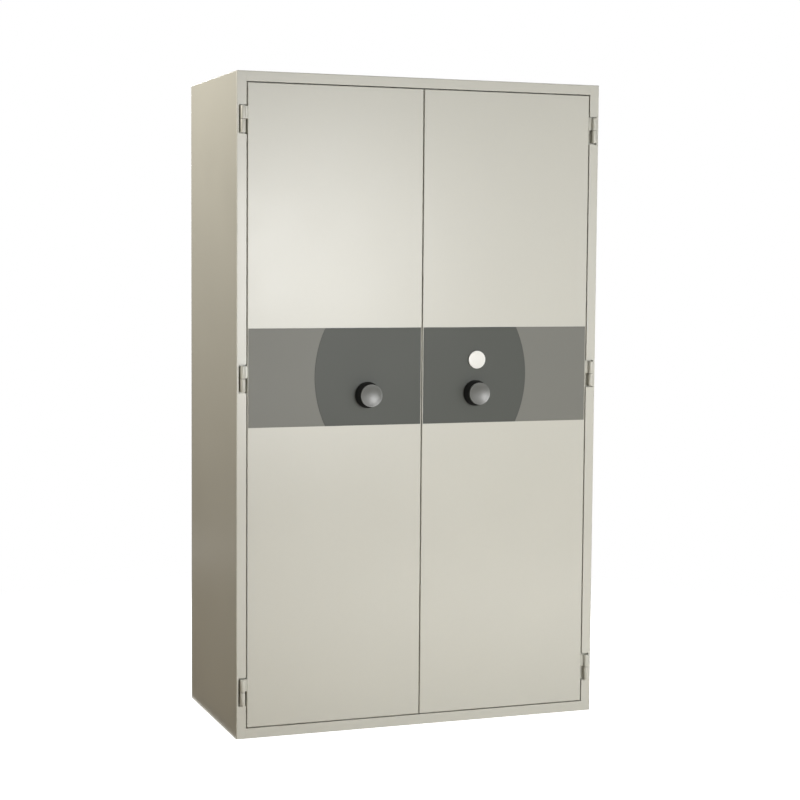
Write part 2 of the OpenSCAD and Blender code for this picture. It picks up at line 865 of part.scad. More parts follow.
// Cap of the knob, its face dished for the palm
module knob_cap() {
    dish_half = cap_d / 2 - cap_lip;
    dish_r = (dish_half * dish_half + cap_dish * cap_dish) / (2 * cap_dish);
    color(cap_grey) turned_at(knob_x, dark_y - skirt_h, knob_z) difference() {
        rotate_extrude($fn = 96) difference() {
            square([cap_d / 2, cap_h]);
            translate([0, cap_h - cap_dish + dish_r]) circle(dish_r, $fn = 360);
            translate([cap_d / 2, cap_h]) rotate(180) difference() {
                translate([-eps, -eps]) square(cap_edge_r + eps);
                translate([cap_edge_r, cap_edge_r]) circle(cap_edge_r);
            }
        }
        translate([0, 0, -eps]) cylinder(h = socket_h + eps, d = spindle_d);
    }
}

module knob_spindle() {
    low = dark_y - skirt_h - socket_h;
    color(steel) rod_y(knob_x, knob_z, low, disc_y + disc_t, spindle_d);
}

// Disc on the spindle with the drive pins of the bolts
module cam(with_side) {
    turn = [for (a = [-45, 135]) [throw_r * cos(a), throw_r * sin(a)]];
    color(steel) difference() {
        union() {
            rod_y(knob_x, knob_z, disc_y, disc_y + disc_t, disc_d);
            for (p = turn)
                rod_y(knob_x + p[0], knob_z + p[1], disc_y, bar_y + bar_t + pin_over, drive_d);
            if (with_side)
                rod_y(knob_x + side_z, knob_z + side_z, disc_y, side_y + bar_t + pin_over, drive_d);
        }
        rod_y(knob_x, knob_z, disc_y - eps, disc_y + disc_t + eps, spindle_d);
    }
}

// Long bar with its foot round the spindle's side, drawn from the spindle upwards
module long_bar(reach) {
    leg_low = bar_out - bar_w / 2;
    leg_high = bar_out + bar_w / 2;
    slot_z = -foot_h / 2;
    color(zinc) {
        plate_at(bar_y, bar_t) difference() {
            polygon([[foot_in, -foot_h], [leg_high, -foot_h], [leg_high, reach - bolt_l / 2],
                [leg_low, reach - bolt_l / 2], [leg_low, 0], [foot_in, 0]]);
            slot2d([throw_z - slide_gap, slot_z], [throw_r + slide_gap, slot_z],
                drive_d + 2 * yoke_gap);
        }
        translate([bar_out, long_bolt_y, reach - bolt_l])
            cylinder(h = bolt_l - bolt_chamfer, d = bolt_d);
        translate([bar_out, long_bolt_y, reach - bolt_chamfer])
            cylinder(h = bolt_chamfer, d1 = bolt_d, d2 = bolt_d - 2 * bolt_chamfer, $fn = 64);
    }
}

module upper_bolt() {
    translate([knob_x, 0, knob_z - throw_z + foot_h / 2])
        long_bar(cover_high + bolt_proud - knob_z + throw_z - foot_h / 2);
}

module lower_bolt() {
    translate([knob_x, 0, knob_z + throw_z - foot_h / 2]) rotate([0, 180, 0])
        long_bar(knob_z + throw_z - foot_h / 2 - cover_low + bolt_proud);
}

// Side bar: slotted plate at the spindle, arm, carrier and three bolts
module side_bolts() {
    bar_low = knob_x + side_z - yoke_half;
    bar_high = knob_x + side_z + yoke_half;
    bolt_end = cover_in_x - bolt_proud;
    color(zinc) {
        plate_at(side_y, bar_t) difference() {
            union() {
                translate([bar_low, knob_z + yoke_low])
                    square([bar_high - bar_low, arm_high - yoke_low]);
                translate([carrier_x, knob_z + arm_low])
                    square([bar_low - carrier_x + eps, arm_high - arm_low]);
                translate([knob_x + lug_low, knob_z + arm_high - eps])
                    square([lug_high - lug_low, lug_top - arm_high + eps]);
                translate([carrier_x - carrier_w / 2, side_mid_z - carrier_half])
                    square([carrier_w, 2 * carrier_half]);
            }
            slot2d([knob_x + side_z, knob_z + side_z - slide_gap],
                [knob_x + side_z, knob_z + side_throw_r + slide_gap], drive_d + 2 * yoke_gap);
        }
        for (z = side_bolt_z) translate([bolt_end, side_bolt_y, z]) rotate([0, 90, 0])
            cylinder(h = carrier_x - bolt_end, d = bolt_d);
    }
}

// Strip inside the left door that takes the side bolts
module side_bolt_keeper() {
    low = cover_in_x + cover_sheet;
    color(zinc) mirror([1, 0, 0]) difference() {
        block([low, plug_y, side_mid_z - carrier_half],
            [low + side_keeper_t, cover_in_y, side_mid_z + carrier_half]);
        side_bolt_holes(low - eps, low + side_keeper_t + eps, bolt_d + 2 * slide_gap);
    }
}

// Lock case with the curtain's bearing in front and the bolt's slot below
module lock_case() {
    low_x = key_x - case_w / 2;
    high_x = key_x + case_w / 2;
    inner_y = case_y + case_t;
    color(steel) {
        difference() {
            block([low_x, case_y, case_low], [high_x, case_y + case_d, case_low + case_h]);
            block([low_x + case_t, inner_y, case_low + case_t],
                [high_x - case_t, case_y + case_d - case_t, case_low + case_h - case_t]);
            rod_y(key_x, key_z, case_y - eps, inner_y + eps, journal_d + 2 * run);
            block([key_x - tongue_w / 2 - slide_gap, side_y - slide_gap, case_low - eps],
                [key_x + tongue_w / 2 + slide_gap, side_y + bar_t + slide_gap, case_low + 2 * case_t]);
        }
        for (side = [-1, 1])
            translate([side < 0 ? low_x - case_lug_w : high_x, plug_y,
                case_low + case_h - case_lug_in - case_lug_h])
                cube([case_lug_w, case_y + case_lug_t - plug_y, case_lug_h]);
    }
}

// Escutcheon with its keyhole, the sleeve through the door and the pivot of the cover
module key_escutcheon() {
    pivot_z = key_z + pivot_up;
    color(steel) {
        difference() {
            rod_y(key_x, key_z, dark_y - plate_t, dark_y, plate_d);
            rod_y(key_x, key_z, dark_y - plate_t - eps, dark_y + eps, keyhole_d);
            block([key_x - key_slot_w / 2, dark_y - plate_t - eps, key_z - keyhole_drop],
                [key_x + key_slot_w / 2, dark_y + eps, key_z]);
        }
        difference() {
            rod_y(key_x, key_z, dark_y, plug_y - door_sheet, sleeve_d);
            rod_y(key_x, key_z, dark_y - eps, plug_y, sleeve_bore);
        }
        rod_y(key_x, pivot_z, key_cover_y + pivot_web, dark_y - plate_t, pivot_d);
    }
}

// White swing cover of the keyhole
module key_cover() {
    edge = 0.8;
    color(white) difference() {
        turned_at(key_x, key_cover_y + cover_t, key_z) rotate_extrude($fn = 96) polygon([
            [0, 0], [cover_d / 2 - edge / 2, 0], [cover_d / 2, edge / 2],
            [cover_d / 2, cover_t - edge], [cover_d / 2 - edge, cover_t], [0, cover_t]]);
        rod_y(key_x, key_z + pivot_up, key_cover_y + pivot_web, key_cover_y + cover_t + eps,
            pivot_d + 2 * run);
    }
}

// Turning curtain with the pin that moves the lock bolt
module lock_curtain() {
    inner_y = case_y + case_t;
    disc_back = side_y - slide_gap;
    pin_in = crank_r * sin(45);
    color(brass) difference() {
        union() {
            rod_y(key_x, key_z, case_y, inner_y, journal_d);
            rod_y(key_x, key_z, inner_y, disc_back, 2 * crank_r + crank_d + 2 * collar_in);
            rod_y(key_x + pin_in, key_z + pin_in, inner_y, side_y + bar_t + slide_gap, crank_d);
        }
        block([key_x - key_slot_w / 2, case_y - eps, key_z - key_slot_h],
            [key_x + key_slot_w / 2, disc_back - slot_floor, key_z + slot_above]);
    }
}

// Lock bolt that drops beside the side bar's lug
module lock_bolt() {
    pin_in = crank_r * sin(45);
    color(brass) plate_at(side_y, bar_t) difference() {
        union() {
            translate([key_x - tongue_w / 2, key_z - bolt_head_low])
                square([bolt_head_w, bolt_head_h]);
            translate([key_x - tongue_w / 2, tongue_low]) square([tongue_w, key_z - tongue_low]);
        }
        slot2d([key_x + pin_in - crank_end, key_z + pin_in],
            [key_x + crank_r + crank_end, key_z + pin_in], crank_d + 2 * crank_gap);
    }
}

module left_door_skin() { mirror([1, 0, 0]) door_skin(false); }

module left_door_core() { mirror([1, 0, 0]) door_core(false); }

module left_door_inner_pan() { mirror([1, 0, 0]) door_inner_pan(false); }

module left_boltwork_cover() { mirror([1, 0, 0]) boltwork_cover(); }

module left_cover_screws() { mirror([1, 0, 0]) cover_screws(); }

module left_light_panel() { mirror([1, 0, 0]) light_panel(); }

module left_dark_panel() { mirror([1, 0, 0]) dark_panel(false); }

module left_edge_seal() { mirror([1, 0, 0]) edge_seal(); }

module left_spindle_bush() { mirror([1, 0, 0]) spindle_bush(); }

module left_knob_cap() { mirror([1, 0, 0]) knob_cap(); }

module left_knob_skirt() { mirror([1, 0, 0]) knob_skirt(); }

module left_knob_spindle() { mirror([1, 0, 0]) knob_spindle(); }

module left_cam() { mirror([1, 0, 0]) cam(false); }

module left_upper_bolt() { mirror([1, 0, 0]) upper_bolt(); }

module left_lower_bolt() { mirror([1, 0, 0]) lower_bolt(); }

module right_door_skin() { door_skin(true); }

module right_door_core() { door_core(true); }

module right_door_inner_pan() { door_inner_pan(true); }

module right_boltwork_cover() { boltwork_cover(); }

module right_cover_screws() { cover_screws(); }

module right_light_panel() { light_panel(); }

module right_dark_panel() { dark_panel(true); }

module right_edge_seal() { edge_seal(); }

module right_spindle_bush() { spindle_bush(); }

module right_knob_cap() { knob_cap(); }

module right_knob_skirt() { knob_skirt(); }

module right_knob_spindle() { knob_spindle(); }

module right_cam() { cam(true); }

module right_upper_bolt() { upper_bolt(); }

module right_lower_bolt() { lower_bolt(); }

left_side_panel();
right_side_panel();
top_panel();
base_panel();
back_panel();
inner_liner();
left_insulation();
right_insulation();
top_insulation();
base_insulation();
back_insulation();
frame_seal();
bolt_keepers();
shelf_uprights();
shelf_clips();
shelf_1();
shelf_2();
shelf_3();
shelf_4();
frame_hinge_knuckles();
hinge_pins();
left_door_skin();
left_door_core();
left_door_inner_pan();
left_boltwork_cover();
left_cover_screws();
left_light_panel();
left_dark_panel();
left_edge_seal();
left_spindle_bush();
left_hinge_knuckles();
side_bolt_keeper();
left_knob_cap();
left_knob_skirt();
left_knob_spindle();
left_cam();
left_upper_bolt();
left_lower_bolt();
right_door_skin();
right_door_core();
right_door_inner_pan();
right_boltwork_cover();
right_cover_screws();
right_light_panel();
right_dark_panel();
right_edge_seal();
right_spindle_bush();
right_hinge_knuckles();
lock_case();
key_escutcheon();
right_knob_cap();
right_knob_skirt();
right_knob_spindle();
right_cam();
right_upper_bolt();
right_lower_bolt();
side_bolts();
key_cover();
lock_curtain();
lock_bolt();
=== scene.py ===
# %% [markdown]
# # A two-door fireproof cabinet
# The imported model gives every piece at its real size and place, in metres. This lesson rounds the
# edges of the pieces and gives each its finish. The pieces that the eye goes to first are made
# afresh: the knobs, the cover of the keyhole, and the screws inside the doors. The box of the packed
# model is kept.

# %% Load the cabinet
import json
import math

import bmesh
import bpy
from mathutils import Matrix, Vector

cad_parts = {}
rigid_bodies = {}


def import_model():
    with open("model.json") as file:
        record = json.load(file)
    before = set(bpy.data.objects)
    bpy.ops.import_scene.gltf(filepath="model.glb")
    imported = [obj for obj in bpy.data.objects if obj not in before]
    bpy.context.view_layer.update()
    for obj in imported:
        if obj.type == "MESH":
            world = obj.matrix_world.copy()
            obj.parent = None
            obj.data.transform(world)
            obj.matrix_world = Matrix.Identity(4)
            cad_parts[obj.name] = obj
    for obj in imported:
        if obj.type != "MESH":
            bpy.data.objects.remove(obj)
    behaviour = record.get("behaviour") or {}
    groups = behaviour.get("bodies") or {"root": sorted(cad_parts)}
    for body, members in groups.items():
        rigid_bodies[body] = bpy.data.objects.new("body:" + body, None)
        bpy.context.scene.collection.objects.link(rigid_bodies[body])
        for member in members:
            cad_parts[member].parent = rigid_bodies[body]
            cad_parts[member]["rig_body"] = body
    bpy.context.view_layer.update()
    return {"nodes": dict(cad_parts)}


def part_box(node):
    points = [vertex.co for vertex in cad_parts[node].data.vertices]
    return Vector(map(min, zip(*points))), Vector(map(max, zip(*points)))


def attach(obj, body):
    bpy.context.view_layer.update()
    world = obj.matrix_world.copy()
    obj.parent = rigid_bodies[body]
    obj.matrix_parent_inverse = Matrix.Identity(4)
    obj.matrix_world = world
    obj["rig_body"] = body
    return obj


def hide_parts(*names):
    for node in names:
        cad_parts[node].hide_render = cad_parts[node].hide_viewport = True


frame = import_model()
nodes = frame["nodes"]

# %% [markdown]
# ## The camera
# The photographer stood to the left, five and a half metres away, with the lens at chest height. A
# camera can be placed by eye, but straight upright edges then never quite agree. Here its place and
# its three angles come from the edges of the casing and the doors. Yaw turns it to the right, a
# negative pitch looks down, and roll is the slight tilt of the picture.

# %% Place the camera
CAMERA_PLACE = Vector((-1.9678, -5.4630, 1.4206))
YAW, PITCH, ROLL = (math.radians(a) for a in (20.098, -4.430, 0.439))
LENS_MM, FILM_MM = 83.25, 36.0


def camera_axes(yaw, pitch, roll):
    """Right, up and forward of a camera, as vectors."""
    ahead, aside = math.cos(yaw) * math.cos(pitch), math.sin(yaw) * math.cos(pitch)
    forward = Vector((aside, ahead, math.sin(pitch)))
    level = Vector((math.cos(yaw), -math.sin(yaw), 0))
    upright = level.cross(forward)
    right = math.cos(roll) * level + math.sin(roll) * upright
    up = math.cos(roll) * upright - math.sin(roll) * level
    return right, up, forward


camera_data = bpy.data.cameras.new("camera")
camera_data.lens = LENS_MM
camera_data.sensor_width = FILM_MM
camera = bpy.data.objects.new("camera", camera_data)
bpy.context.scene.collection.objects.link(camera)
right, up, forward = camera_axes(YAW, PITCH, ROLL)
turn = Matrix((right, up, -forward)).transposed().to_4x4()
camera.matrix_world = Matrix.Translation(CAMERA_PLACE) @ turn
bpy.context.scene.camera = camera
bpy.context.scene.view_settings.view_transform = "Standard"
print("lens", LENS_MM, "mm, looking", [round(c, 3) for c in forward])

# %% [markdown]
# ## A small language for materials
# A material in Blender is a graph of nodes. Written out link by link, even a simple pattern takes a
# page. A small class that wraps a socket lets the maths be written as ordinary Python: adding two
# wrapped sockets adds a Math node. Every other node comes from one method, which takes the node's
# type, its settings and its sockets.

# %% Wrap a socket
class Wire:
    """A node's output that can be used in Python expressions."""

    def __init__(self, tree, socket):
        self.tree, self.socket = tree, socket

    def maths(self, operation, *values):
        return add_node(self.tree, "ShaderNodeMath", {"operation": operation}, dict(enumerate(values)))

    def __add__(self, other):
        return self.maths("ADD", self, other)

    def __radd__(self, other):
        return self.maths("ADD", other, self)

    def __sub__(self, other):
        return self.maths("SUBTRACT", self, other)

    def __rsub__(self, other):
        return self.maths("SUBTRACT", other, self)

    def __mul__(self, other):
        return self.maths("MULTIPLY", self, other)

    def __rmul__(self, other):
        return self.maths("MULTIPLY", other, self)


def add_node(tree, kind, settings=None, sockets=None, output=0):
    """Adds a node, with its settings first and then a value or a link for each socket."""
    node = tree.nodes.new(kind)
    for setting, value in (settings or {}).items():
        setattr(node, setting, value)
    for socket, value in (sockets or {}).items():
        if isinstance(value, Wire):
            tree.links.new(value.socket, node.inputs[socket])
        else:
            node.inputs[socket].default_value = value
    return Wire(tree, node.outputs[output])


print("sockets can be added, subtracted and multiplied")

# %% [markdown]
# ## A material and its nodes
# Each finish starts as a new material with a Principled shader. What is the same all over a surface is
# set on the shader's own sockets. What changes over the surface, such as a faint mottle or the grain
# of a powder coat, is worked out from the place on the piece, in metres.

# %% Start a finish
class Finish:
    """A material with one Principled shader, and a method that adds any node."""

    def __init__(self, name, colour, roughness, **sockets):
        self.material = bpy.data.materials.new(name)
        self.material.use_nodes = True
        self.material.diffuse_color = (*colour, 1)
        self.tree = self.material.node_tree
        self.shader = self.tree.nodes["Principled BSDF"]
        self.shader.inputs["Base Color"].default_value = (*colour, 1)
        self.shader.inputs["Roughness"].default_value = roughness
        for socket, value in sockets.items():
            self.shader.inputs[socket].default_value = value
        self.place = self.node("ShaderNodeTexCoord", output="Object")

    def node(self, kind, settings=None, sockets=None, output=0):
        return add_node(self.tree, kind, settings, sockets, output)

    def feed(self, socket, wire):
        self.tree.links.new(wire.socket, self.shader.inputs[socket])


def srgb(r, g, b):
    """A colour as it is measured on a screen, from 0 to 255, as linear light."""
    return tuple(((c / 255 + 0.055) / 1.055) ** 2.4 for c in (r, g, b))


print("finishes are ready to be mixed")

# %% [markdown]
# ## Patterns that every finish shares
# Three kinds of change are enough for most surfaces. Noise at a given grain size in metres gives
# mottle and orange peel. A mix of a darker and a lighter colour follows such a noise. A bump turns a
# height in metres into a tilt of the surface.

# %% Noise, tint and relief
EVEN = (1, 1, 1)


def noise(finish, grain, detail=2.0, roughness=0.5, stretch=EVEN):
    """Noise from 0 to 1 whose spots are about grain metres wide, drawn out where stretch is large."""
    place = finish.place
    if stretch != EVEN:
        scale = tuple(1 / s for s in stretch)
        place = finish.node("ShaderNodeMapping", sockets={"Vector": place, "Scale": scale})
    return finish.node("ShaderNodeTexNoise", sockets={
        "Vector": place, "Scale": 1 / grain, "Detail": detail, "Roughness": roughness})


def tint(finish, factor, colour, darkest, lightest):
    """A colour that goes from its darkest share to its lightest as the factor goes from 0 to 1."""
    low, high = (tuple(c * share for c in colour) + (1,) for share in (darkest, lightest))
    return finish.node("ShaderNodeMix", {"data_type": "RGBA"}, {0: factor, 6: low, 7: high}, 2)


def relief(finish, height, depth):
    """Tilts the surface as if the height, from 0 to 1, were depth metres of relief."""
    finish.feed("Normal", finish.node("ShaderNodeBump", sockets={
        "Height": height, "Distance": depth, "Strength": 1.0}))


print("noise, tint and relief are defined")

# %% [markdown]
# ## Powder coat
# The casing and doors are sprayed with powder and baked. The coat is satin, with a very fine orange
# peel about two millimetres wide, and its tone wanders by a percent or two over a hand's breadth. A
# flat colour would look like plastic. The mottle here is kept so weak that it is only felt. The
# shelves wear a duller cream, and the lining inside is a plain satin grey.

# %% Mix the cream coat
CREAM = srgb(197, 197, 187)
HAND_BREADTH, SPOT = 0.22, 0.012
BREADTH_SHARE, SPOT_SHARE = 0.7, 0.3
SATIN_SWING = 0.12
PEEL_DEPTH = 0.00002
SHELF_SHADE = 0.94


def powder_coat(name, colour, roughness, peel=0.0019, mottle=0.03, ior=1.5):
    """Baked powder: a tone that wanders by the mottle, and an orange peel of a width in metres."""
    finish = Finish(name, colour, roughness, IOR=ior)
    wander = noise(finish, HAND_BREADTH, detail=3.0) * BREADTH_SHARE + noise(finish, SPOT) * SPOT_SHARE
    finish.feed("Base Color", tint(finish, wander, colour, 1 - mottle, 1 + mottle))
    finish.feed("Roughness", (wander - 0.5) * SATIN_SWING + roughness)
    relief(finish, noise(finish, peel, detail=1.0), PEEL_DEPTH)
    return finish


cream_coat = powder_coat("cream_coat", CREAM, 0.35, ior=1.6)
shelf_coat = powder_coat("shelf_coat", tuple(c * SHELF_SHADE for c in CREAM), 0.48)
lining_coat = powder_coat("lining_coat", srgb(172, 175, 171), 0.5)
print("cream coat", [round(c, 3) for c in CREAM])

# %% [markdown]
# ## The two greys of the band
# The panels across the doors are painted sheet: a light olive grey outside the circle, a darker one
# inside. They are duller than the doors, so the same recipe is used with a rougher surface, less
# mirroring and a finer peel.

# %% Mix the band's greys
def band_coat(name, colour):
    return powder_coat(name, colour, 0.47, peel=0.0014, mottle=0.025, ior=1.36)


light_coat = band_coat("light_grey_coat", srgb(122, 123, 117))
dark_coat = band_coat("dark_grey_coat", srgb(73, 76, 71))
print("band greys mixed")

# %% [markdown]
# ## Knob, skirt and keyhole cover
# The knob's cap is a satin grey moulding, its skirt a matt black one with the fine texture of a spark
# eroded mould. The cover of the keyhole is a glossy white moulding. Moulded plastic has no grain that
# runs anywhere, so a fine even noise does for its surface.

# %% Mix the mouldings
CLOUD_IN_GRAINS = 25
MOULDED_SWING = 0.1


def moulding(name, colour, roughness, grain, depth, ior=1.5):
    """Moulded plastic with an even texture, whose grain and depth are in metres."""
    finish = Finish(name, colour, roughness, IOR=ior)
    speck = noise(finish, grain, detail=3.0, roughness=0.6)
    cloud = noise(finish, grain * CLOUD_IN_GRAINS)
    finish.feed("Base Color", tint(finish, cloud, colour, 0.96, 1.04))
    finish.feed("Roughness", (speck - 0.5) * MOULDED_SWING + roughness)
    relief(finish, speck, depth)
    return finish


cap_plastic = moulding("knob_cap_plastic", srgb(61, 62, 55), 0.35, 0.0006, 0.000006, ior=1.68)
skirt_plastic = moulding("knob_skirt_plastic", srgb(18, 18, 16), 0.7, 0.0007, 0.00001, ior=1.3)
cover_plastic = moulding("keyhole_cover_plastic", srgb(240, 241, 237), 0.25, 0.002, 0.000006)
print("mouldings mixed")

# %% [markdown]
# ## Bare and plated metal
# The boltwork is zinc plated: bright, slightly blue, with a cloudy crystal pattern and fine rolling
# marks. The knobs' bushes, the lock's curtain and its bolt are brass, and the hinge pins are oiled
# steel. Rolling and drawing marks are noise that is drawn out a long way in one direction. The brass
# has fine level lines instead, which are noise squeezed flat.

# %% Mix the metals
MARK_WIDTH, MARK_DEPTH = 0.0008, 0.00002
CLOUD_SWING, MARK_SWING = 0.14, 0.1
MIDDLE_SWING = (CLOUD_SWING + MARK_SWING) / 2


def worked_metal(name, colour, roughness, marks, cloud):
    """Metal with clouds of a width in metres, and with fine marks stretched along X, Y and Z."""
    finish = Finish(name, colour, roughness, Metallic=1.0)
    clouds = noise(finish, cloud, detail=4.0, roughness=0.6)
    lines = noise(finish, MARK_WIDTH, stretch=marks)
    finish.feed("Base Color", tint(finish, clouds, colour, 0.88, 1.06))
    finish.feed("Roughness", clouds * CLOUD_SWING + lines * MARK_SWING + (roughness - MIDDLE_SWING))
    relief(finish, lines, MARK_DEPTH)
    return finish


zinc_plate = worked_metal("zinc_plate", srgb(146, 149, 153), 0.42, (1, 1, 30), 0.02)
turned_brass = worked_metal("turned_brass", srgb(196, 166, 104), 0.3, (1, 1, 0.3), 0.008)
pin_steel = worked_metal("oiled_steel", srgb(112, 110, 104), 0.4, (1, 1, 12), 0.01)
print("metals mixed")

# %% [markdown]
# ## Mineral board and fire seal
# The mineral fill is pale and chalky, with short fibres. The swelling seal is a dull graphite strip.
# Both scatter light evenly, so they get a high roughness and a coarser relief.

# %% Mix the fill and the seal
def dull(name, colour, grain, depth, roughness, fibres):
    """A chalky or sooty surface whose flecks are drawn out along its fibres."""
    finish = Finish(name, colour, roughness)
    fleck = noise(finish, grain, detail=5.0, roughness=0.65, stretch=fibres)
    finish.feed("Base Color", tint(finish, fleck, colour, 0.82, 1.12))
    relief(finish, fleck, depth)
    return finish


mineral_board = dull("mineral_board", srgb(214, 211, 203), 0.004, 0.0006, 0.95, (4, 1, 1))
graphite_seal = dull("graphite_seal", srgb(66, 66, 68), 0.0016, 0.0002, 0.8, (1, 1, 8))
print("fill and seal mixed")

# %% [markdown]
# ## Soft edges
# No real edge is perfectly sharp. Sheet is folded round a radius, bars are tumbled, mouldings leave a
# mould. The bevel matters more than its size suggests, because the thin highlight along an edge tells
# the eye what the piece is made of. A Bevel modifier would do the same. The operator is used here,
# because the faces that it makes can then be shaded one by one.

# %% Bevel the sharp edges
SHARP = math.radians(30)


def soften(bm, width, segments=3):
    """Rounds every edge whose two faces meet at more than the sharp angle."""
    edges = [e for e in bm.edges if len(e.link_faces) == 2 and e.calc_face_angle(0) > SHARP]
    bmesh.ops.bevel(bm, geom=edges, offset=width, offset_type="OFFSET", segments=segments,
                    profile=0.5, affect="EDGES", clamp_overlap=True, material=-1)


print("edges over", round(math.degrees(SHARP)), "degrees are rounded")

# %% [markdown]
# ## From a mesh to a piece
# A piece needs more than its mesh. It gets its finish, rides on the body that it moves with, and
# takes the place of a imported piece. A face keeps the flat or smooth shading that its maker gave it.
# A copied mesh can carry normals of its own, and those are taken off, because a bevel makes them
# wrong.

# %% Make a piece
CREASE = math.radians(50)


def piece(bm, name, finish, body, replaced):
    """Makes a mesh object of a bmesh, gives it its finish, hangs it on its body, and hides the piece
    that it replaces.
    """
    mesh = bpy.data.meshes.new(name)
    bm.to_mesh(mesh)
    smooth = [face.smooth for face in bm.faces]
    bm.free()
    if mesh.has_custom_normals:
        mesh.attributes.remove(mesh.attributes["custom_normal"])
    mesh.set_sharp_from_angle(angle=CREASE)
    mesh.polygons.foreach_set("use_smooth", smooth)
    mesh.materials.append(finish.material)
    made = bpy.data.objects.new(name, mesh)
    bpy.context.scene.collection.objects.link(made)
    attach(made, body)
    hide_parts(replaced)
    print(name, len(mesh.polygons), "faces")


print("creases over", round(math.degrees(CREASE)), "degrees stay sharp")

# %% [markdown]
# ## Who wears what
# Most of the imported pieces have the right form: folded sheet, bars, slabs, turned parts. What they
# lack are the small radii that every cut, punched or moulded edge has. A table says for each finish
# which pieces wear it and how wide their edges are rounded, in millimetres.

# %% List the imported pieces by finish
WEARS = [
    (cream_coat, 0.5, ["left_side_panel", "right_side_panel", "top_panel", "base_panel",
                       "left_door_skin", "right_door_skin", "left_boltwork_cover",
                       "right_boltwork_cover", "left_hinge_knuckles", "right_hinge_knuckles",
                       "frame_hinge_knuckles", "back_panel"]),
    (shelf_coat, 0.4, ["shelf_1", "shelf_2", "shelf_3", "shelf_4"]),
    (light_coat, 0.3, ["left_light_panel", "right_light_panel"]),
    (dark_coat, 0.4, ["left_dark_panel", "right_dark_panel"]),
    (lining_coat, 0.3, ["inner_liner", "left_door_inner_pan", "right_door_inner_pan",
                        "shelf_uprights", "bolt_keepers", "side_bolt_keeper"]),
    (mineral_board, 0.8, ["left_insulation", "right_insulation", "top_insulation",
                          "base_insulation", "back_insulation", "left_door_core",
                          "right_door_core"]),
    (graphite_seal, 0.4, ["frame_seal", "left_edge_seal", "right_edge_seal"]),
    (zinc_plate, 0.3, ["shelf_clips", "left_knob_spindle", "right_knob_spindle", "left_cam",
                       "right_cam", "left_upper_bolt", "left_lower_bolt", "right_upper_bolt",
                       "right_lower_bolt", "side_bolts", "lock_case", "key_escutcheon"]),
    (pin_steel, 0.2, ["hinge_pins"]),
    (turned_brass, 0.3, ["left_spindle_bush", "right_spindle_bush", "lock_curtain", "lock_bolt"]),
]
print(sum(len(names) for _, _, names in WEARS), "packed pieces are listed")

# %% [markdown]
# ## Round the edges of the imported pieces
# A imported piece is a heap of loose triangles. Its copy is first welded, and flat neighbours are
# dissolved into single faces, so that only real edges are left. Those get a narrow bevel, and the
# round faces are shaded smooth. Doing this by hand for fifty pieces would take a day.

# %% Weld, dissolve and bevel
WELD = 2e-6
FLAT = math.radians(0.4)
BROAD = 4


def is_curved(face):
    """Whether a face belongs to a round form, and isn't the broad flat face that the form runs into."""
    bends = [edge for edge in face.edges if FLAT < edge.calc_face_angle(0) < CREASE]
    beside = [near.calc_area() for edge in bends for near in edge.link_faces if near is not face]
    return bool(beside) and face.calc_area() < BROAD * max(beside)


def rounded(node, finish, width):
    """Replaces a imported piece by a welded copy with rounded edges."""
    bm = bmesh.new()
    bm.from_mesh(nodes[node].data)
    bmesh.ops.remove_doubles(bm, verts=bm.verts, dist=WELD)
    bmesh.ops.dissolve_limit(bm, angle_limit=FLAT, verts=bm.verts, edges=bm.edges)
    soften(bm, width)
    for face in bm.faces:
        face.smooth = is_curved(face)
    piece(bm, node + "_rounded", finish, nodes[node]["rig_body"], node)


for finish, millimetres, names in WEARS:
    for name in names:
        rounded(name, finish, millimetres / 1000)

# %% [markdown]
# ## Turned forms
# Knobs, discs, rivets and screws are all turned forms. Half their outline is drawn as a few points,
# and spun round the axis that points out of the door. Where an outline has a rounded corner or a
# dish, a formula gives its points.

# %% Spin an outline
TOUCHING = 1e-6


def spun(outline, place, steps=96):
    """A closed body turned round an axis that points out of the door. The outline is pairs of radius
    and distance in front of the place."""
    bm = bmesh.new()
    points = [bm.verts.new(place + Vector((radius, -out, 0))) for radius, out in outline]
    lines = [bm.edges.new(pair) for pair in zip(points, points[1:])]
    bmesh.ops.spin(bm, geom=points + lines, cent=place, axis=(0, 1, 0), angle=2 * math.pi,
                   steps=steps, use_merge=True)
    bmesh.ops.remove_doubles(bm, verts=bm.verts, dist=TOUCHING)
    bmesh.ops.recalc_face_normals(bm, faces=bm.faces)
    for face in bm.faces:
        face.smooth = True
    return bm


def corner(radius, out, r, steps=4):
    """Points of a rounded outer corner, from the face to the side."""
    angles = [math.pi / 2 * k / steps for k in range(steps + 1)]
    return [(radius - r * (1 - math.sin(a)), out - r * (1 - math.cos(a))) for a in angles]


def measured(node):
    """Middle of a packed round piece where it faces the door, its radius and its thickness."""
    low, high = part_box(node)
    seat = Vector(((low.x + high.x) / 2, high.y, (low.z + high.z) / 2))
    return seat, (high.x - low.x) / 2, high.y - low.y


print("the left cap's radius is", round(measured("left_knob_cap")[1], 4), "m")

# %% [markdown]
# ## The knob's cap
# The cap closes the knob, and its face is a shallow dish inside a narrow rim. In a dish the highlight
# lies on the far side from the lamp, which is how the photograph gives the dish away. The dish is a
# piece of a ball, so its points come from the ball's radius.

# %% Draw the cap
DISH_DEPTH, RIM_WIDTH = 0.0041, 0.0015
CAP_ROUND, CAP_CHAMFER = 0.0008, 0.0006


def dish(radius, depth, top, steps=14):
    """Points of a dish from its axis to its rim, as pairs of radius and distance."""
    ball = (radius ** 2 + depth ** 2) / (2 * depth)
    rim = math.asin(radius / ball)
    angles = [rim * k / steps for k in range(steps + 1)]
    return [(ball * math.sin(a), top - depth + ball * (1 - math.cos(a))) for a in angles]


